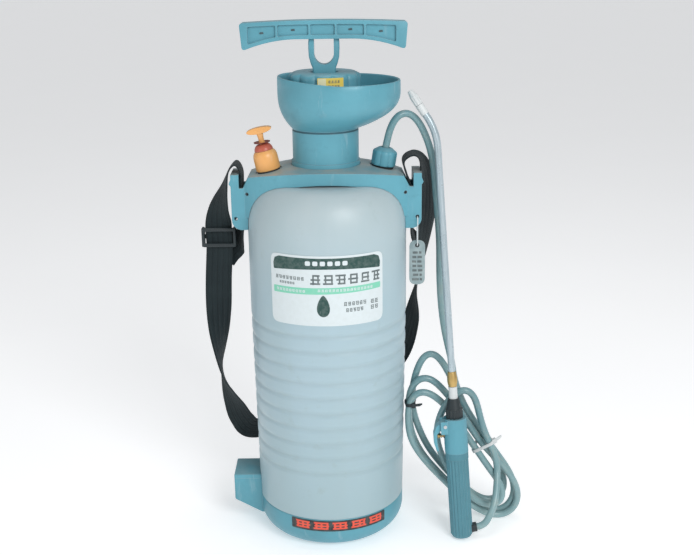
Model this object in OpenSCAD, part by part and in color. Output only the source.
// Shoulder-carried pump pressure sprayer, nominal 7 litres.
// Units are millimetres. +X is the hose side, -Y the front, +Z up.
// The origin is on the floor, on the tank's axis.

/* [Tank] */
// Largest radius of the tank
tank_radius = 89; // [86:0.5:91]
// Radius of the tank where it leaves the base cup
tank_foot_radius = 85.5; // [83:0.5:85.5]
// Thickness of the tank's wall
tank_wall = 3.4; // [2.6:0.1:4]
// Number of rib grooves around the tank
rib_count = 10; // [4:1:10]
// Height from one rib groove to the next
rib_pitch = 18.3; // [14:0.1:18.3]
// Depth of a rib groove
rib_depth = 1.5; // [0.5:0.1:2]

/* [Base] */
// Height of the base cup
cup_height = 40; // [38:0.5:42]
// Thickness of the base cup's wall
cup_wall = 3; // [2.5:0.1:3.2]
// How far the foot tab reaches out from the axis
tab_reach = 116; // [105:1:125]
// Width of the foot tab
tab_width = 43; // [35:1:50]
// Height of the foot tab's top face
tab_height = 65; // [60:1:70]

/* [Yoke] */
// Half the yoke's width at its middle
yoke_half_width = 52; // [48:1:56]
// Distance from the axis to a lug's outer face
lug_reach = 105; // [104:0.5:107]
// Width of a lug, front to back
lug_width = 40; // [37:1:44]
// Thickness of the yoke's skin
yoke_skin = 3.5; // [2.5:0.1:4]

/* [Funnel and pump] */
// Outer radius of the filler neck
neck_radius = 36.5; // [36:0.5:38]
// Outer radius of the funnel bowl's rim
bowl_radius = 67; // [64:1:70]
// How far the rim is off the tank's axis
bowl_offset = 15.5; // [12:0.5:16]
// Radius of the pump cap's grip
cap_radius = 38; // [36:0.5:38.5]
// Number of grip ribs on the pump cap
cap_ribs = 12; // [6:1:24]
// Outer radius of the pump barrel
barrel_radius = 19; // [17:0.5:21]
// Radius of the pump rod
rod_radius = 6; // [5:0.5:6.5]

/* [T-handle] */
// Width of the T-handle from tip to tip
handle_width = 179; // [150:1:190]
// Depth of the T-handle, front to back
handle_depth = 24; // [20:1:28]
// Height of the top of the T-handle
handle_top = 591.5; // [590:0.5:594]

/* [Valve and outlet] */
// Lean of the relief valve away from the axis
relief_lean = 12; // [8:1:14]
// Lean of the hose outlet away from the axis
outlet_lean = 9; // [6:1:10]

/* [Hose and gun] */
// Outer diameter of the hose
hose_diameter = 8; // [7.5:0.1:8.2]
// Outer diameter of the lance
lance_diameter = 8; // [7:0.1:8]
// Radius of the gun's grip
grip_radius = 13; // [12:0.5:13.5]
// Height of the gun's grip
grip_height = 104; // [95:1:104]

/* [Strap] */
// Width of the shoulder strap's webbing
webbing_width = 30; // [25:1:31]
// Thickness of the webbing
webbing_thickness = 2; // [1.2:0.1:2.2]

/* [Hidden] */
$fn = 64;

// Running and assembly clearances
run_gap = 0.05;
gap = 0.3;

// Colours
teal = "#5fa5be";
milky = "#c3d3da";
amber = "#ebb464";
rust = "#b4554b";
webbing_black = "#1e2d32";
hose_grey = "#6e969b";
satin_metal = "#bec8d2";

// Heights up the tank's axis
cup_floor = 3;
cup_round = 25;
cup_outer_radius = 85.5;
first_rib = 97.5;
wall_straight_from = 270;
shoulder_start = 372;
shoulder_rise = 47;
shoulder_run = 31;
neck_start = 428;
tank_neck_top = 462;
tank_neck_radius = 33;
tank_neck_bore = 30.4;
neck_top = 474;
bowl_bottom = 476;
bowl_floor = 479;
bowl_curve = 40;
bowl_rim = 528;
rim_slope = 0.08;
cap_shoulder = 482;
cap_grip_bottom = 489;
cap_top = 537;
barrel_bottom = 195;

// ---------------------------------------------------------------- shared shapes

// Radius of the tank's side at a height
function side_radius(z) =
    let (share = (z - cup_height) / (wall_straight_from - cup_height))
    z >= wall_straight_from ? tank_radius : tank_foot_radius + (tank_radius - tank_foot_radius) * share;

// Points along an elliptical arc from angle a to angle b
function arc(cx, cy, rx, ry, a, b, steps = 8) =
    [for (i = [0:steps]) let (t = a + (b - a) * i / steps) [cx + rx * cos(t), cy + ry * sin(t)]];

// Outline of a round grip with raised ribs
function ribbed_outline(r, depth, count) =
    [for (i = [0:count * 4 - 1])
        let (a = 360 * (i + 0.5) / (count * 4), reach = r + (floor(i / 2) % 2 == 0 ? depth : 0))
        [reach * cos(a), reach * sin(a)]];

// Smooth curve through hand-placed points
function curve_point(p, i, t) =
    let (a = p[max(i - 1, 0)], b = p[i], c = p[i + 1], d = p[min(i + 2, len(p) - 1)])
    0.5 * (2 * b + (c - a) * t + (2 * a - 5 * b + 4 * c - d) * t * t + (3 * b - a - 3 * c + d) * t * t * t);
function smooth(p, steps) =
    [for (i = [0:len(p) - 2], k = [0:steps - 1]) curve_point(p, i, k / steps), p[len(p) - 1]];

function unit(v) = v / norm(v);
function tangent(p, i) = unit(p[min(i + 1, len(p) - 1)] - p[max(i - 1, 0)]);

// Side direction at each point, carried along the curve without twisting
function carried_sides(p, i = 0, sides = []) =
    i == len(p) ? sides
    : let (
        t = tangent(p, i),
        old = i == 0 ? (abs(t[1]) < 0.9 ? [0, 1, 0] : [1, 0, 0]) : sides[i - 1],
        side = unit(old - (old * t) * t)
    ) carried_sides(p, i + 1, concat(sides, [side]));

// Closed skin over rings of equal size, with flat ends
module skin(rings) {
    n = len(rings[0]);
    last = (len(rings) - 1) * n;
    polyhedron(
        points = [for (ring = rings) each ring],
        faces = concat(
            [[for (k = [0:n - 1]) k]],
            [for (i = [0:len(rings) - 2], k = [0:n - 1]) each [
                [i * n + k, (i + 1) * n + k, i * n + (k + 1) % n],
                [i * n + (k + 1) % n, (i + 1) * n + k, (i + 1) * n + (k + 1) % n]
            ]],
            [[for (k = [n - 1:-1:0]) last + k]]
        ),
        convexity = 8
    );
}

// Round tube along a list of points
module tube_along(points, radius, sides = 10) {
    side = carried_sides(points);
    skin([for (i = [0:len(points) - 1]) let (t = tangent(points, i), v = cross(t, side[i]))
        [for (k = [0:sides - 1]) let (a = -360 * k / sides)
            points[i] + radius * (cos(a) * side[i] + sin(a) * v)]]);
}

module ring(inner, outer, height) {
    difference() {
        cylinder(r = outer, h = height);
        translate([0, 0, -1]) cylinder(r = inner, h = height + 2);
    }
}

// Thin curved panel on a cylinder, centred on the front
module curved_panel(radius, thickness, from_angle, to_angle, height) {
    rotate([0, 0, from_angle - 90]) rotate_extrude(angle = to_angle - from_angle)
        translate([radius, 0]) square([thickness, height]);
}

module both_sides() {
    children();
    mirror([1, 0, 0]) children();
}

// ---------------------------------------------------------------- tank and base

groove_half = 3.4;
groove_floor_half = 1.2;

function rib_grooves() =
    [for (i = [0:rib_count - 1]) let (z = first_rib + i * rib_pitch, r = side_radius(z)) each [
        [r, z - groove_half], [r - rib_depth, z - groove_floor_half],
        [r - rib_depth, z + groove_floor_half], [r, z + groove_half]]];

tank_base_radius = cup_outer_radius - cup_wall - 0.4;

function tank_outline(inset) = concat(
    [[0, cup_floor + 0.4 + inset]],
    arc(60, cup_round, tank_base_radius - 60 - inset, cup_round - cup_floor - 0.4 - inset, -90, 0),
    [[tank_base_radius - inset, cup_height + 0.4 + inset]],
    [[tank_foot_radius - inset, cup_height + 0.4 + inset]],
    inset == 0 ? rib_grooves() : [],
    [[tank_radius - inset, wall_straight_from]],
    arc(tank_radius - shoulder_run, shoulder_start, shoulder_run - inset, shoulder_rise - inset, 0, 90, 10),
    [[tank_neck_radius + (inset > 0 ? tank_neck_bore - tank_neck_radius : 0), neck_start - inset]]
);

module tank_shell() color(milky) difference() {
    rotate_extrude() polygon(concat(tank_outline(0),
        [[tank_neck_radius, tank_neck_top], [0, tank_neck_top]]));
    rotate_extrude() polygon(concat(tank_outline(tank_wall),
        [[tank_neck_bore, tank_neck_top + 1], [0, tank_neck_top + 1]]));
    at_relief() translate([0, 0, -40]) cylinder(r = relief_shank + 0.2, h = 60);
    at_outlet() translate([0, 0, -40]) cylinder(r = outlet_shank + 0.2, h = 60);
}

module base_cup() color(teal) difference() {
    union() {
        rotate_extrude() polygon(concat([[0, 0]],
            arc(60, cup_round, cup_outer_radius - 60, cup_round, -90, 0),
            [[cup_outer_radius, cup_height], [0, cup_height]]));
        foot_tab();
    }
    rotate_extrude() polygon(concat([[0, cup_floor]],
        arc(60, cup_round, cup_outer_radius - cup_wall - 60, cup_round - cup_floor, -90, 0),
        [[cup_outer_radius - cup_wall, cup_height], [tank_foot_radius + 1, cup_height],
        [tank_foot_radius + 1, tab_height + 2], [0, tab_height + 2]]));
}

// Step for holding the sprayer down while pumping, hollow from below
module foot_tab() translate([0, tab_width / 2 + 1.5, 0]) rotate([90, 0, 0]) {
    difference() {
        linear_extrude(tab_width) polygon([[-78, 15], [-84, 15], [-tab_reach, 33],
            [-tab_reach, tab_height], [-78, tab_height]]);
        translate([0, 0, 3]) linear_extrude(tab_width - 6) polygon([[-89, 8], [-tab_reach + 3, 28],
            [-tab_reach + 3, tab_height - 4], [-89, tab_height - 4]]);
    }
}

module base_label() color("#30463f") translate([0, 0, cup_round + 0.5])
    curved_panel(cup_outer_radius, 0.4, -32, 46, 13.5);

module front_label() color("#f2f4f2") translate([0, 0, 275])
    curved_panel(tank_radius, 0.4, -42.7, 42.7, 80);

// ---------------------------------------------------------------- yoke

dome_radius = 300;
dome_centre = 439 - dome_radius;
yoke_arc_centre = 90.3;
lug_inner = 84;
lug_bottom = 366;
lug_notch = 413;
lug_round = 11;
finger_top = 428;
finger_inner = 96;
slot_inner = 92;
slot_half = 16.5;
hole_height = 379;
screw_x = 87;
screw_z = 407;
spot_face = 14.6;

// Lens-shaped plan under a shallow dome, shrunk by an inset
module yoke_lens(inset) intersection() {
    translate([0, yoke_arc_centre, 380]) cylinder(r = yoke_arc_centre + yoke_half_width - inset, h = 80);
    translate([0, -yoke_arc_centre, 380]) cylinder(r = yoke_arc_centre + yoke_half_width - inset, h = 80);
    translate([0, 0, dome_centre]) sphere(r = dome_radius - inset);
    translate([-slot_inner + inset, -100, 380]) cube([2 * (slot_inner - inset), 200, 80]);
}

// Everything taken up by the tank, with a little air around it
module tank_clearance() rotate_extrude() polygon(concat(
    [[0, 300], [tank_radius + gap, 300]],
    arc(tank_radius - shoulder_run, shoulder_start, shoulder_run + gap, shoulder_rise + gap, 0, 90, 10),
    [[tank_neck_radius + gap, neck_start + gap], [0, neck_start + gap]]));

// Slope from the dome down to the notch beside the finger
module notch_slope() translate([0, 30, 0]) rotate([90, 0, 0]) linear_extrude(60)
    polygon([[84, finger_top], [slot_inner + 0.2, lug_notch - 1], [slot_inner + 8, lug_notch - 1],
        [slot_inner + 8, 450], [84, 450]]);

module lug() difference() {
    translate([0, lug_width / 2, 0]) rotate([90, 0, 0]) linear_extrude(lug_width) polygon(concat(
        [[lug_inner, lug_notch + 8], [lug_inner, lug_bottom]],
        arc(lug_reach - lug_round, lug_bottom + lug_round, lug_round, lug_round, -90, 0, 8),
        [[lug_reach, finger_top], [finger_inner, finger_top]],
        [[finger_inner, lug_notch], [slot_inner, lug_notch]]));
    // strap slot, and the pocket behind the tag hole
    translate([slot_inner, -slot_half, lug_bottom - 5])
        cube([finger_inner - slot_inner, 2 * slot_half, finger_top - lug_bottom + 10]);
    translate([finger_inner + 1.8, -slot_half, lug_bottom - 5])
        cube([lug_reach - finger_inner - 3.6, 2 * slot_half, 40]);
    translate([(finger_inner + lug_reach) / 2, lug_width / 2 + 1, hole_height]) rotate([90, 0, 0])
        cylinder(r = 2, h = lug_width + 2);
}

// Small barbs that keep the webbing on the finger
module finger_barbs() for (y = [-lug_width / 2, lug_width / 2 - 3]) translate([0, y + 3, 0])
    rotate([90, 0, 0]) linear_extrude(3)
        polygon([[lug_reach - 1, 415], [lug_reach, 415], [lug_reach + 2, 418],
            [lug_reach, 423], [lug_reach - 1, 423]]);

module shoulder_yoke() color(teal) difference() {
    union() {
        difference() {
            yoke_lens(0);
            difference() {
                yoke_lens(yoke_skin);
                for (x = [-47, 45]) translate([x, -60, 380]) cube([2, 120, 70]);
            }
            both_sides() notch_slope();
        }
        both_sides() lug();
        both_sides() finger_barbs();
        at_relief() translate([0, 0, -9]) cylinder(r = spot_face, h = 7.5);
        at_outlet() translate([0, 0, -9]) cylinder(r = spot_face, h = 7.5);
    }
    at_relief() translate([0, 0, -1.5]) cylinder(r = spot_face, h = 20);
    at_outlet() translate([0, 0, -1.5]) cylinder(r = spot_face, h = 20);
    tank_clearance();
    translate([0, 0, 400]) cylinder(r = neck_radius + 1.5 + gap, h = 60);
    at_relief() translate([0, 0, -20]) cylinder(r = relief_shank + 0.2, h = 40);
    at_outlet() translate([0, 0, -20]) cylinder(r = outlet_shank + 0.2, h = 40);
    at_screws() translate([0, 0, -14]) cylinder(r = 1.9, h = 20);
}

module at_screws() for (side = [-1, 1], front = [0, 180]) rotate([0, 0, front])
    translate([side * screw_x, -22.5, screw_z]) rotate([90, 0, 0]) children();

module yoke_screws() color("#39444a") at_screws() translate([0, 0, -13]) difference() {
    cylinder(r = 1.85, h = 11);
    translate([-0.4, -1.2, 10]) cube([0.8, 2.4, 2]);
}

// ---------------------------------------------------------------- neck and funnel

module filler_neck() color(teal) difference() {
    union() {
        translate([0, 0, neck_start + 1]) cylinder(r = neck_radius, h = neck_top - neck_start - 1);
        translate([0, 0, neck_start + 1]) cylinder(r = neck_radius + 1.5, h = 12);
    }
    translate([0, 0, neck_start]) cylinder(r = tank_neck_radius + 0.1, h = tank_neck_top - neck_start);
    cylinder(r = tank_neck_bore + 0.8, h = neck_top + 10);
}

module funnel_gasket() color("#2c3a40") translate([0, 0, neck_top])
    ring(tank_neck_bore + 0.8, neck_radius - 0.5, bowl_bottom - neck_top);

// How far the bowl has opened out at a share of its curved height
function bowl_open(share) = 1 - pow(1 - share, 2.5);
function circle_ring(cx, r, z, sides = 40) =
    [for (k = [0:sides - 1]) [cx + r * cos(360 * k / sides), -r * sin(360 * k / sides), z]];

// Level on the hose side, and rising towards the other
function rim_ring(r, sides = 40) = [for (k = [0:sides - 1])
    [bowl_offset + r * cos(360 * k / sides), -r * sin(360 * k / sides),
        bowl_rim + rim_slope * r * max(0, -cos(360 * k / sides))]];

bowl_wall = 3;
bowl_neck_outer = 37;
bowl_neck_inner = 35;
bowl_steps = 9;

function bowl_outside() = [for (i = [0:bowl_steps]) let (s = i / bowl_steps, f = bowl_open(s))
    circle_ring(bowl_offset * f, bowl_neck_outer + (bowl_radius - bowl_neck_outer) * f,
        bowl_bottom + bowl_curve * s)];
function bowl_inside() = [for (i = [bowl_steps:-1:0]) let (s = i / bowl_steps, f = bowl_open(s))
    circle_ring(bowl_offset * f, bowl_neck_inner + (bowl_radius - bowl_wall - bowl_neck_inner) * f,
        bowl_floor + (bowl_curve - bowl_floor + bowl_bottom) * s)];

// Eccentric bowl as one closed skin: floor hole, outside, rim, then inside back down
module bowl_shell() {
    rings = concat(
        [circle_ring(0, tank_neck_bore + 0.8, bowl_floor)],
        [circle_ring(0, tank_neck_bore + 0.8, bowl_bottom)],
        bowl_outside(),
        [rim_ring(bowl_radius)],
        [rim_ring(bowl_radius - bowl_wall)],
        bowl_inside()
    );
    n = len(rings[0]);
    count = len(rings);
    polyhedron(
        points = [for (loop = rings) each loop],
        faces = [for (i = [0:count - 1], k = [0:n - 1]) let (j = (i + 1) % count, m = (k + 1) % n) each [
            [i * n + k, j * n + k, i * n + m], [i * n + m, j * n + k, j * n + m]]],
        convexity = 8
    );
}

module filler_funnel() color(teal) bowl_shell();

// ---------------------------------------------------------------- relief valve

relief_foot = [-63, -12, 432.5];
relief_shank = 8;
relief_bore = 6;
relief_radius = 13.5;

module at_relief() translate(relief_foot) rotate([0, -relief_lean, 0]) children();

module relief_body() color(amber) at_relief() difference() {
    union() {
        cylinder(r = relief_radius, h = 17);
        translate([0, 0, -27]) cylinder(r = relief_shank, h = 28);
    }
    translate([0, 0, -14]) cylinder(r = relief_bore, h = 40);
    translate([0, 0, -30]) cylinder(r = 3, h = 30);
}

module relief_collar() color(rust) at_relief() translate([0, 0, 17]) difference() {
    union() {
        cylinder(r1 = relief_radius, r2 = 9.5, h = 9);
        translate([0, 0, 9]) cylinder(r1 = 9.5, r2 = 6.5, h = 3);
    }
    translate([0, 0, -1]) cylinder(r = relief_bore, h = 10);
    cylinder(r = 3.4 + run_gap, h = 14);
}

module relief_gasket() color("#2c3a40") at_relief() translate([0, 0, -1.5])
    ring(relief_shank + 0.25, relief_radius - 1, 1.5);

module relief_nut() color(amber) at_relief() translate([0, 0, -26.6]) difference() {
    cylinder(r = 13, h = 5, $fn = 6);
    translate([0, 0, -1]) cylinder(r = relief_shank + 0.02, h = 7);
}

// Pull knob with its thin disc and the stem down to the seal
module relief_knob() color(amber) at_relief() {
    translate([0, 0, -12.8]) cylinder(r = 2, h = 3);
    translate([0, 0, -9.8]) cylinder(r = 5.6, h = 2);
    translate([0, 0, -8]) cylinder(r = 3.4, h = 50);
    translate([0, 0, 29.4]) cylinder(r = 9, h = 1.4);
    translate([0, 0, 44.5]) crescent_bar();
}

// Lens-shaped bar across the top of the stem
module crescent_bar() translate([0, 4.5, 0]) rotate([90, 0, 0]) linear_extrude(9)
    polygon(concat(arc(0, 0, 13.8, 3, 0, 180, 12), arc(0, 0, 13.8, 4, 190, 350, 10)));

module relief_seal() color("#2c3a40") at_relief() translate([0, 0, -13.9]) ring(2.02, 5.6, 4);

module relief_spring() color("#9aa3a8") at_relief()
    tube_along([for (i = [0:48]) [4.7 * cos(i * 37.5), 4.7 * sin(i * 37.5), -6.6 + i * 0.64]], 0.6, 6);

// ---------------------------------------------------------------- hose outlet

outlet_foot = [63, 0, 432.5];
outlet_shank = 8;
barb_top = 12;
nut_top = 21;
fitting_bottom = -22;

module at_outlet() translate(outlet_foot) rotate([0, outlet_lean, 0]) children();

module outlet_fitting() color("#2f4a52") at_outlet() difference() {
    union() {
        translate([0, 0, fitting_bottom]) cylinder(r = outlet_shank, h = 1 - fitting_bottom);
        cylinder(r = 10, h = 5);
        cylinder(r = 3.6, h = barb_top);
    }
    translate([0, 0, fitting_bottom - 1]) cylinder(r = 2.2, h = 50);
}

module outlet_gasket() color("#2c3a40") at_outlet() translate([0, 0, -1.5])
    ring(outlet_shank + 0.25, 12, 1.5);

module hose_nut() color(teal) at_outlet() difference() {
    union() {
        translate([0, 0, 1]) linear_extrude(15) polygon(ribbed_outline(13, 1, 12));
        translate([0, 0, 16]) cylinder(r1 = 12.6, r2 = 8, h = nut_top - 16);
    }
    translate([0, 0, 0.9]) cylinder(r = 10.1, h = 11);
    cylinder(r = hose_diameter / 2 + gap, h = nut_top + 2);
}

dip_x = outlet_foot[0] - 26 * sin(outlet_lean);

// Suction tube from the outlet to the bottom of the tank
module dip_tube() color("#d8e2e6") tube_along(smooth([
    at_outlet_point(fitting_bottom), at_outlet_point(fitting_bottom - 4),
    at_outlet_point(fitting_bottom - 10),
    [dip_x - 1.5, 0, 370], [dip_x, 0, 300], [dip_x, 0, 180], [dip_x, 0, 20]], 3), 4, 12);

function at_outlet_point(u) = outlet_foot + u * [sin(outlet_lean), 0, cos(outlet_lean)];

module dip_filter() color("#2f4a52") translate([dip_x, 0, 12]) difference() {
    cylinder(r = 6.5, h = 16);
    translate([0, 0, 8]) cylinder(r = 4.1, h = 9);
    translate([0, 0, -1]) cylinder(r = 2.5, h = 12);
    for (a = [0:60:120]) rotate([0, 0, a]) translate([-8, -0.8, 2.5]) cube([16, 1.6, 4]);
}

// ---------------------------------------------------------------- pump

barrel_bore = barrel_radius - 2;
stem_hole = 15;
spigot_radius = 29.4;
piston_bottom = 213;
piston_top = 226;
pin_height = 528;

module pump_seal() color("#2c3a40") translate([0, 0, bowl_floor])
    ring(spigot_radius + 0.4, 33.8, cap_shoulder - bowl_floor);

module pump_cap() color(teal) difference() {
    union() {
        translate([0, 0, cap_grip_bottom]) linear_extrude(cap_top - 3 - cap_grip_bottom)
            polygon(ribbed_outline(cap_radius, 1.5, cap_ribs));
        translate([0, 0, cap_top - 3]) cylinder(r1 = cap_radius, r2 = cap_radius - 3, h = 3);
        translate([0, 0, cap_shoulder]) cylinder(r = 34, h = cap_grip_bottom - cap_shoulder);
        translate([0, 0, 448]) cylinder(r = spigot_radius, h = 40);
        // thread crests
        for (z = [450:4:458]) translate([0, 0, z]) cylinder(r = spigot_radius + 0.6, h = 1.6);
    }
    // hollow grip, open spigot, rod hole and handle hole
    translate([0, 0, cap_grip_bottom]) cylinder(r = cap_radius - 4.5, h = cap_top - 5 - cap_grip_bottom);
    translate([0, 0, 440]) cylinder(r = 25, h = cap_shoulder - 440);
    cylinder(r = 10 + 0.02, h = 520);
    translate([0, 0, 520]) cylinder(r = stem_hole, h = 40);
}

module cap_label() color("#e8cf5a") translate([0, 0, 521])
    curved_panel(cap_radius + 1.6, 0.4, -10, 31, 13);

module pump_barrel() color("#cfd9dc") translate([0, 0, barrel_bottom])
    ring(barrel_bore, barrel_radius, cap_shoulder - barrel_bottom);

module rod_bush() color("#39444a") translate([0, 0, cap_shoulder - 3]) difference() {
    union() {
        cylinder(r = 10, h = 12);
        cylinder(r = barrel_bore - 0.1, h = 3 - 0.02);
    }
    translate([0, 0, -1]) cylinder(r = rod_radius + run_gap, h = 16);
}

module foot_valve() color("#39444a") translate([0, 0, barrel_bottom - 4]) difference() {
    union() {
        cylinder(r = barrel_radius, h = 4);
        translate([0, 0, 4]) cylinder(r = barrel_bore - 0.02, h = 6);
    }
    for (a = [0:60:300]) rotate([0, 0, a]) translate([6, 0, -1]) cylinder(r = 1.5, h = 14);
    translate([0, 0, -1]) cylinder(r = 2, h = 14);
}

module foot_valve_disc() color("#2c3a40") translate([0, 0, barrel_bottom - 4]) {
    translate([0, 0, -2]) cylinder(r1 = 7, r2 = 9.5, h = 2);
    cylinder(r = 1.95, h = 10);
    translate([0, 0, 10]) cylinder(r = 3, h = 2);
}

module piston() color("#39444a") difference() {
    translate([0, 0, piston_bottom]) cylinder(r = barrel_bore - 1, h = piston_top - piston_bottom);
    translate([0, 0, piston_bottom + 4]) ring(barrel_bore - 4.2, barrel_bore, 4.4);
    translate([0, 0, piston_bottom - 1]) cylinder(r = 4 + run_gap, h = 20);
}

module piston_seal() color("#1f2629") translate([0, 0, piston_bottom + 6.2])
    rotate_extrude() translate([barrel_bore - 2.1, 0]) circle(r = 2.05);

// Rod with a lower spigot for the piston and a cross hole for the handle's pin
module pump_rod() color(satin_metal) difference() {
    union() {
        translate([0, 0, piston_top + 0.2]) cylinder(r = rod_radius, h = 537 - piston_top - 0.2);
        translate([0, 0, piston_bottom - 6]) cylinder(r = 4, h = 20);
    }
    translate([0, 10, pin_height]) rotate([90, 0, 0]) cylinder(r = 2.05, h = 20);
}

module piston_nut() color(satin_metal) translate([0, 0, piston_bottom - 5.2]) difference() {
    cylinder(r = 8, h = 5, $fn = 6);
    translate([0, 0, -1]) cylinder(r = 4.02, h = 8);
}

// ---------------------------------------------------------------- T-handle

handle_half = handle_width / 2;
handle_drop = 2.5;
panel_edges = [-82, -50, -15, 13, 44, 78];
panel_rim = 3;
loop_centre = 555;
loop_hole = 11;
loop_outer = 17;
stem_width = 25;
stem_depth = 14;

function bar_top(x) = handle_top - handle_drop * pow(x / handle_half, 2);
function bar_bottom(x) = abs(x) < 28 ? 572 : 572 - 11.5 * pow((abs(x) - 28) / (handle_half - 31), 2);

function bar_outline() = concat(
    [for (x = [-handle_half + 4:9:handle_half - 4]) [x, bar_top(x)]],
    [[handle_half - 1, bar_top(handle_half) - 1.5], [handle_half, bar_top(handle_half) - 6],
    [handle_half - 2, 561.5], [handle_half - 3.5, 560]],
    [for (x = [handle_half - 9:-7:-handle_half + 9]) [x, bar_bottom(x)]],
    [[-handle_half + 3.5, 560], [-handle_half + 2, 561.5], [-handle_half, bar_top(handle_half) - 6],
    [-handle_half + 1, bar_top(handle_half) - 1.5]]);

function panel_outline(a, b) = concat(
    [for (i = [0:4]) let (x = a + (b - a) * i / 4) [x, bar_top(x) - panel_rim]],
    [for (i = [4:-1:0]) let (x = a + (b - a) * i / 4) [x, bar_bottom(x) + panel_rim]]);

module from_front(depth, y) translate([0, y + depth, 0]) rotate([90, 0, 0]) linear_extrude(depth) children();

module t_handle() color(teal) difference() {
    union() {
        from_front(handle_depth, -handle_depth / 2) polygon(bar_outline());
        from_front(stem_depth, -stem_depth / 2) translate([-loop_outer, loop_centre])
            square([2 * loop_outer, 572 - loop_centre + 4]);
        from_front(stem_depth, -stem_depth / 2) polygon([[-loop_outer, loop_centre + 0.1],
            [-stem_width / 2, 541], [-stem_width / 2, 519], [stem_width / 2, 519],
            [stem_width / 2, 541], [loop_outer, loop_centre + 0.1]]);
    }
    // finger loop
    translate([0, handle_depth, loop_centre]) rotate([90, 0, 0])
        cylinder(r = loop_hole, h = 2 * handle_depth);
    from_front(handle_depth * 2, -handle_depth) translate([-loop_hole, loop_centre])
        square([2 * loop_hole, 572 - loop_centre]);
    // recessed panels, front and back
    for (i = [0:len(panel_edges) - 2], y = [-handle_depth / 2 - 1, handle_depth / 2 - 3])
        from_front(4, y) polygon(panel_outline(panel_edges[i] + 1, panel_edges[i + 1] - 1));
    // rod socket and pin hole
    translate([0, 0, 518]) cylinder(r = rod_radius + 0.02, h = 19.1);
    translate([0, handle_depth, pin_height]) rotate([90, 0, 0]) cylinder(r = 2.05, h = 2 * handle_depth);
}

module handle_pin() color(satin_metal) translate([0, stem_depth / 2, pin_height]) rotate([90, 0, 0])
    cylinder(r = 2, h = stem_depth);

// ---------------------------------------------------------------- hose and coil

gun_foot = [153, -56, 2];
gun_lean_back = -6;
gun_lean_side = -3.8;
valve_top = 145;
cap_nut_top = 168;
lance_nut_top = 182;
joint_top = 200;
bend_start = 454;
bend_radius = 70;
bend_angle = 30;
lever_pivot = [-12, 0, 137];
plunger_height = 124;
elbow_height = 7;
elbow_turn = 84;

hose_route = [
    at_outlet_point(barb_top), at_outlet_point(barb_top + 5), at_outlet_point(nut_top + 1),
    [70, 0, 468], [77, 1, 484], [87, 3, 491], [98, 6, 485], [107, 7, 469], [114, 5, 449], [118, 1, 425],
    [121, 0, 385], [124, 0, 345], [125, -1, 300], [130, -3, 260], [137, -5, 225], [143, -7, 200],
    [148, -8, 172]
];
tail_route = [
    gun_point(elbow_end(18)), gun_point(elbow_end(21)), gun_point(elbow_end(25)),
    [184, -53, 19], [191, -48, 31], [195, -41, 45], [197, -32, 60], [197, -22, 74]
];

// The hank leans on the tank: its outline and its hole from the front, and its reach front to back
coil_front = -26;
coil_depth = 37;
coil_outline = [
    [119, 216.5], [128, 210], [138, 197], [147, 184], [158, 178], [167, 170], [175, 155], [181, 135],
    [189, 114], [199, 95], [212, 78], [224, 53], [228, 26], [221, 9], [205, 1.5], [188, 3], [170, 13],
    [154, 26], [138, 41], [122, 57], [108, 76], [96, 97], [87, 120], [84.5, 146], [88, 171], [96, 194],
    [106, 211], [119, 216.5]
];
coil_hole = [
    [112, 150], [123, 141], [134, 128], [150, 108], [166, 88], [182, 69], [197, 51], [206, 35], [201, 25],
    [189, 27], [171, 41], [153, 59], [137, 79], [124, 102], [114, 127], [112, 150]
];
tie_height = 4;
tie_thickness = 1.2;

module hose() color(hose_grey) tube_along(smooth(hose_route, 4), hose_diameter / 2, 10);
module hose_tail() color(hose_grey) tube_along(smooth(tail_route, 3), hose_diameter / 2, 10);

// The tied hank of hose as one solid of its outer shape
module hose_coil() color(hose_grey) difference() {
    from_front(coil_depth, coil_front) difference() {
        polygon(smooth(coil_outline, 3));
        polygon(smooth(coil_hole, 3));
    }
    translate([0, 0, -1]) cylinder(r = tank_radius + 0.5, h = 300);
    at_black_tie() waist(20);
    at_white_tie() waist(24);
}

// Local frames of the two ties: X across the band of hose, Z along it
module at_black_tie() translate([99.5, coil_front + coil_depth / 2, 152]) children();
module at_white_tie() translate([181, coil_front + coil_depth / 2, 97]) rotate([0, -30, 0]) children();

// What a tie takes off the band's two edges
module waist(width) difference() {
    cube([width + 10, 2 * coil_depth, tie_height + 1], center = true);
    cube([width, 3 * coil_depth, tie_height + 3], center = true);
}

// Cable tie around the hank's band
module band_tie(width) difference() {
    cube([width + 2 * tie_thickness, coil_depth + 2 * tie_thickness, tie_height], center = true);
    cube([width + 0.1, coil_depth + 0.1, tie_height + 2], center = true);
}

module hose_tie_white() color("#e4e8ea") at_white_tie() band_tie(24);
module hose_tie_black() color("#22282b") at_black_tie() band_tie(20);

// ---------------------------------------------------------------- spray gun and lance

module on_gun() translate(gun_foot) rotate([gun_lean_back, gun_lean_side, 0]) children();
module gun_elbow_axis() translate([0, 0, elbow_height]) rotate([0, elbow_turn, 0]) children();

// A point of the gun's own frame, placed in the part's frame
function gun_point(p) = let (
    y = p[1] * cos(gun_lean_back) - p[2] * sin(gun_lean_back),
    z = p[1] * sin(gun_lean_back) + p[2] * cos(gun_lean_back)
) gun_foot + [p[0] * cos(gun_lean_side) + z * sin(gun_lean_side), y,
    z * cos(gun_lean_side) - p[0] * sin(gun_lean_side)];
function elbow_end(reach) = [reach * sin(elbow_turn), 0, elbow_height + reach * cos(elbow_turn)];

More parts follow.
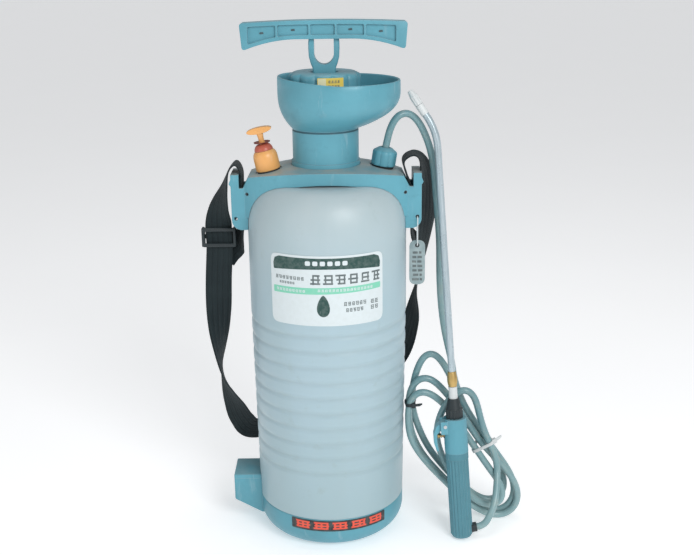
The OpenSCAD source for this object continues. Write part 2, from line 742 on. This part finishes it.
module gun_grip() color(teal) on_gun() difference() {
    union() {
        cylinder(r1 = grip_radius - 2, r2 = grip_radius - 0.4, h = 3);
        translate([0, 0, 3]) linear_extrude(grip_height - 11)
            polygon(ribbed_outline(grip_radius - 0.8, 0.8, 20));
        translate([0, 0, grip_height - 8]) cylinder(r = grip_radius + 0.3, h = 8);
    }
    translate([0, 0, 3]) cylinder(r = grip_radius - 3, h = grip_height);
    gun_elbow_axis() cylinder(r = 6, h = 30);
}

// Water tube up the grip, with the hose spout at its foot
module gun_elbow() color("#39545c") on_gun() difference() {
    union() {
        translate([0, 0, 3]) cylinder(r = 4.8, h = grip_height + 5);
        gun_elbow_axis() cylinder(r = 5.6, h = 18);
    }
    translate([0, 0, elbow_height]) cylinder(r = 2.5, h = grip_height);
    gun_elbow_axis() cylinder(r = 2.5, h = 19);
}

module valve_body() color(teal) on_gun() difference() {
    union() {
        translate([0, 0, grip_height]) cylinder(r = grip_radius + 0.5, h = valve_top - grip_height);
        translate([lever_pivot[0] - 5, -10, 128]) cube([12, 20, 15]);
        translate([0, 0, valve_top]) cylinder(r = 7.4, h = 8);
    }
    translate([0, 0, grip_height - 1]) cylinder(r = 4.85, h = 9);
    translate([0, 0, 112]) cylinder(r = 2.5, h = 60);
    // lever slot, lever pin hole, plunger bore and spring pocket
    translate([-30, -6.3, 127]) cube([24.5, 12.6, 20]);
    translate([lever_pivot[0], 15, lever_pivot[2]]) rotate([90, 0, 0]) cylinder(r = 2.02, h = 30);
    translate([-16, 0, plunger_height]) rotate([0, 90, 0]) cylinder(r = 2 + run_gap, h = 14);
    translate([-16, 0, plunger_height]) rotate([0, 90, 0]) cylinder(r = 3.6, h = 10.5);
}

module gun_cap_nut() color("#22282b") on_gun() difference() {
    union() {
        translate([0, 0, valve_top]) linear_extrude(11) polygon(ribbed_outline(9.2, 0.7, 14));
        translate([0, 0, valve_top + 11]) cylinder(r1 = 9, r2 = 6.4, h = cap_nut_top - valve_top - 11);
    }
    translate([0, 0, valve_top - 1]) cylinder(r = 7.45, h = 9.1);
    translate([0, 0, valve_top]) cylinder(r = 3.2, h = 40);
}

module lance_nut() color("#d4dadd") on_gun() translate([0, 0, cap_nut_top]) difference() {
    cylinder(r = 5, h = lance_nut_top - cap_nut_top);
    translate([0, 0, -1]) cylinder(r = 2.5, h = 20);
}

module brass_joint() color("#b9a468") on_gun() translate([0, 0, lance_nut_top]) difference() {
    union() {
        cylinder(r1 = 5, r2 = 5.8, h = 7);
        translate([0, 0, 7]) cylinder(r1 = 5.8, r2 = 4.9, h = joint_top - lance_nut_top - 7);
    }
    translate([0, 0, -1]) cylinder(r = 2.5, h = 20);
}

// Local frame at the end of the lance's bend
module at_bend_end() on_gun()
    translate([-bend_radius * (1 - cos(bend_angle)), 0, bend_start + bend_radius * sin(bend_angle)])
    rotate([0, -bend_angle, 0]) children();

// The bend is a hair thicker than the straights, which end inside it
module lance_tube() color(satin_metal) {
    on_gun() translate([0, 0, joint_top]) cylinder(d = lance_diameter, h = bend_start - joint_top + 1);
    on_gun() translate([-bend_radius, 0, bend_start]) rotate([90, 0, 0]) rotate_extrude(angle = bend_angle)
        translate([bend_radius, 0]) circle(d = lance_diameter + 0.1);
    at_bend_end() translate([0, 0, -1]) cylinder(d = lance_diameter, h = 5);
}

module nozzle_body() color("#c9ced2") at_bend_end() translate([0, 0, 4]) difference() {
    union() {
        cylinder(r = 4.6, h = 12);
        translate([0, 0, 12]) cylinder(r = 3, h = 9);
    }
    translate([0, 0, -1]) cylinder(r = 1.2, h = 30);
}

module nozzle_cap() color("#e8ecee") at_bend_end() translate([0, 0, 16.3]) difference() {
    union() {
        linear_extrude(11) polygon(ribbed_outline(4.3, 0.4, 10));
        translate([0, 0, 11]) cylinder(r1 = 4.3, r2 = 2.8, h = 7);
    }
    translate([0, 0, -1]) cylinder(r = 3 + run_gap, h = 10.2);
    translate([0, 0, -1]) cylinder(r = 0.7, h = 30);
}

// Squeeze lever, drawn from the side
module trigger_lever() color(teal) on_gun() difference() {
    from_front(12, -6) polygon([[-7, 140.5], [-10, 142], [-15, 142], [-22, 137], [-25.5, 128],
        [-25.5, 116], [-23, 107], [-20.6, 108], [-22, 118], [-21.8, 127], [-18, 131], [-9, 132.5],
        [-7, 135]]);
    translate([lever_pivot[0], 10, lever_pivot[2]]) rotate([90, 0, 0]) cylinder(r = 2 + run_gap, h = 20);
}

module lever_pin() color(satin_metal) on_gun() translate([lever_pivot[0], 10.5, lever_pivot[2]])
    rotate([90, 0, 0]) cylinder(r = 2, h = 21);

module trigger_pin() color("#c3b27a") on_gun() translate([-20.9, 0, plunger_height]) rotate([0, 90, 0]) {
    cylinder(r = 2, h = 15);
    cylinder(r = 2.6, h = 2);
}

module trigger_spring() color("#9aa3a8") on_gun()
    tube_along([for (i = [0:36])
        [-18.2 + i * 0.32, 2.75 * cos(i * 45), plunger_height + 2.75 * sin(i * 45)]], 0.35, 6);

// ---------------------------------------------------------------- strap and tag

// Each station is a point on the webbing's middle and the direction of its width
strap_stations = [
    [[-120, 8, 326], [-0.85, 0, 0.5]],
    [[-113, 9, 335], [-0.85, 0, 0.5]],
    [[-104, 9, 343], [-0.75, 0.5, 0.4]],
    [[-98, 5, 351], [-0.4, 0.9, 0.1]],
    [[-95, 1, 360], [-0.1, 1, 0]],
    [[-94, 0, 371], [0, 1, 0]],
    [[-94, 0, 408], [0, 1, 0]],
    [[-94, 0, 428], [0, 1, 0]],
    [[-100, 0, 438], [0, 1, 0]],
    [[-108, 0, 430], [0, 1, 0]],
    [[-114, 0, 410], [-0.3, 0.95, 0]],
    [[-121, 0, 386], [-0.8, 0.6, 0]],
    [[-122.5, 0, 367], [-1, 0, 0]],
    [[-122.5, 0, 354], [-1, 0, 0]],
    [[-122.5, 0, 340], [-1, 0, 0]],
    [[-123, 4, 280], [-1, 0, 0]],
    [[-124, 14, 215], [-0.8, -0.6, 0]],
    [[-121, 35, 160], [-0.3, -0.85, -0.42]],
    [[-105, 62, 122], [0.3, -0.75, -0.6]],
    [[-62, 86, 103], [0, -0.1, -1]],
    [[0, 96, 108], [0, 0, -1]],
    [[50, 87, 140], [0, 0, -1]],
    [[86, 62, 190], [0.3, -0.4, -0.8]],
    [[99, 42, 240], [0.45, -0.8, -0.4]],
    [[104, 27, 290], [0, -0.97, -0.2]],
    [[109, 15, 335], [-0.3, -0.95, 0]],
    [[113, 9, 380], [-0.45, -0.9, 0]],
    [[111, 4, 415], [-0.3, -0.95, 0]],
    [[106, 0, 438], [0, -1, 0]],
    [[96, 0, 446], [0, -1, 0]],
    [[86, 0, 439], [0, -1, 0]],
    [[89.5, 0, 423], [0, -1, 0]],
    [[94, 0, 408], [0, -1, 0]],
    [[94, 0, 371], [0, -1, 0]],
    [[95.5, 1, 356], [-0.1, -1, 0]],
    [[102, 8, 340], [-0.3, -0.95, 0]],
    [[103, 12, 322], [-0.2, -0.97, 0]]
];
strap_steps = 3;
strap_points = smooth([for (s = strap_stations) s[0]], strap_steps);
strap_widths = smooth([for (s = strap_stations) s[1]], strap_steps);
left_end = 17 * strap_steps;
right_start = 23 * strap_steps;

// One run of the strap, between two stations of its smoothed path
module strap_run(first, last) {
    rings = [for (i = [first:last])
        let (
            p = strap_points[i],
            t = tangent(strap_points, i),
            w = unit(strap_widths[i] - (strap_widths[i] * t) * t) * webbing_width / 2,
            n = cross(t, unit(w)) * webbing_thickness / 2
        ) [p - w - n, p - w + n, p + w + n, p + w - n]];
    skin(rings);
}

module strap_left() color(webbing_black) strap_run(0, left_end);
module strap_back() color(webbing_black) strap_run(left_end, right_start);
module strap_right() color(webbing_black) strap_run(right_start, len(strap_points) - 1);

// Three-bar slide: two bars in front of the webbing and one behind it
module strap_buckle() color("#20282c") translate([-122.5, 0, 353.5]) {
    for (x = [-19, 16]) translate([x, -4.2, -11]) cube([3, 8.6, 22]);
    for (z = [-11, 7]) translate([-19, -4.2, z]) cube([38, 2.2, 4]);
    translate([-19, 2.1, -2.5]) cube([38, 2.3, 5]);
}

tag_x = (finger_inner + lug_reach) / 2;
tag_hole_z = 346;
loop_front = -24;
loop_back = -14.6;

// Nylon loop through the lug's hole and the tag's hole
module tag_loop() color("#c9ced2") tube_along(smooth([
    [tag_x, -18.4, hole_height], [tag_x, -15.8, hole_height - 0.5], [tag_x, loop_back, hole_height - 3],
    [tag_x, loop_back, 362], [tag_x, loop_back, tag_hole_z + 4], [tag_x, -16.5, tag_hole_z + 0.6],
    [tag_x, -19.5, tag_hole_z], [tag_x, -22.5, tag_hole_z + 0.6],
    [tag_x, loop_front, tag_hole_z + 4], [tag_x, loop_front, 362], [tag_x, loop_front, hole_height - 3],
    [tag_x, -22.4, hole_height - 0.4], [tag_x, -18.6, hole_height]
], 2), 0.6, 8);

module hang_tag() color("#9fb0b4") from_front(1, -20) translate([tag_x, 0]) difference() {
    union() {
        translate([0, 343]) circle(r = 9);
        translate([0, 309]) circle(r = 9);
        translate([-9, 309]) square([18, 34]);
    }
    translate([0, tag_hole_z]) circle(r = 2.5);
}

// ---------------------------------------------------------------- output

tank_shell();
base_cup();
base_label();
front_label();
shoulder_yoke();
yoke_screws();
filler_neck();
funnel_gasket();
filler_funnel();
relief_body();
relief_collar();
relief_gasket();
relief_nut();
relief_knob();
relief_seal();
relief_spring();
outlet_fitting();
outlet_gasket();
hose_nut();
dip_tube();
dip_filter();
pump_seal();
pump_cap();
cap_label();
pump_barrel();
rod_bush();
foot_valve();
foot_valve_disc();
piston();
piston_seal();
pump_rod();
piston_nut();
t_handle();
handle_pin();
hose();
hose_tail();
hose_coil();
hose_tie_white();
hose_tie_black();
gun_grip();
gun_elbow();
valve_body();
gun_cap_nut();
lance_nut();
brass_joint();
lance_tube();
nozzle_body();
nozzle_cap();
trigger_lever();
lever_pin();
trigger_pin();
trigger_spring();
strap_left();
strap_back();
strap_right();
strap_buckle();
tag_loop();
hang_tag();
